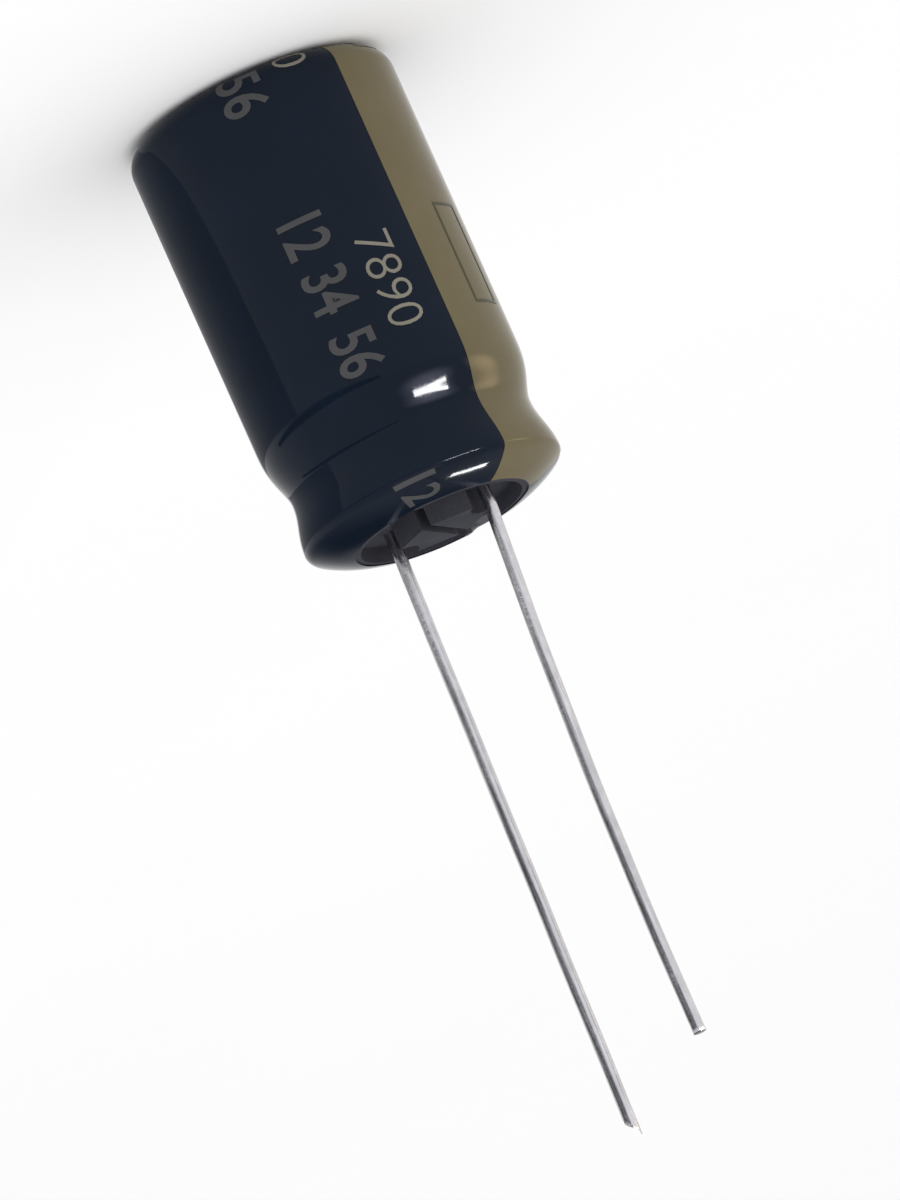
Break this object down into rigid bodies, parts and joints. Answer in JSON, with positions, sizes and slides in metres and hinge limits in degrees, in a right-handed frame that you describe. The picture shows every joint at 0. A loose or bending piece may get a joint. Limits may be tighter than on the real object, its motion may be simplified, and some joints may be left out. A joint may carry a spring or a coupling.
{
  "type": "electrolytic capacitor",
  "caption": "Radial electrolytic capacitor in a sleeved round can with a rolled groove, a rubber bung and two long wire leads; it stores charge on a board.",
  "frame": {"origin": "middle of the closed end, where the part stands", "axes": "+Z along the can towards the leads; +X from the cathode lead to the anode lead; the polarity stripe faces -X"},
  "size_m": [0.0127, 0.0126, 0.05],
  "materials": {
    "sleeve_pvc": "glossy shrunk film, dark navy",
    "stripe_ink": "glossy dull gold print",
    "mark_ink": "dark olive print",
    "number_ink": "pale grey-gold print",
    "can_aluminium": "drawn, satin",
    "bung_rubber": "moulded, matt dark grey",
    "tinned_wire": "tinned, bright with fine drawing marks",
    "terminal_aluminium": "pressed, satin",
    "etched_foil": "etched, matt grey",
    "plain_foil": "rolled, bright",
    "separator_paper": "thin soaked paper",
    "tape_film": "amber film tape"
  },
  "bodies": {
    "root": {"sleeve": "sleeve_pvc", "polarity_stripe": "stripe_ink", "polarity_marks": "mark_ink", "number_print": "number_ink", "can": "can_aluminium", "rubber_bung": "bung_rubber", "anode_lead": "tinned_wire", "cathode_lead": "tinned_wire", "anode_terminal": "terminal_aluminium", "cathode_terminal": "terminal_aluminium", "anode_foil": "etched_foil", "cathode_foil": "plain_foil", "inner_paper": "separator_paper", "outer_paper": "separator_paper", "fixing_tape": "tape_film"}
  },
  "joints": []
}
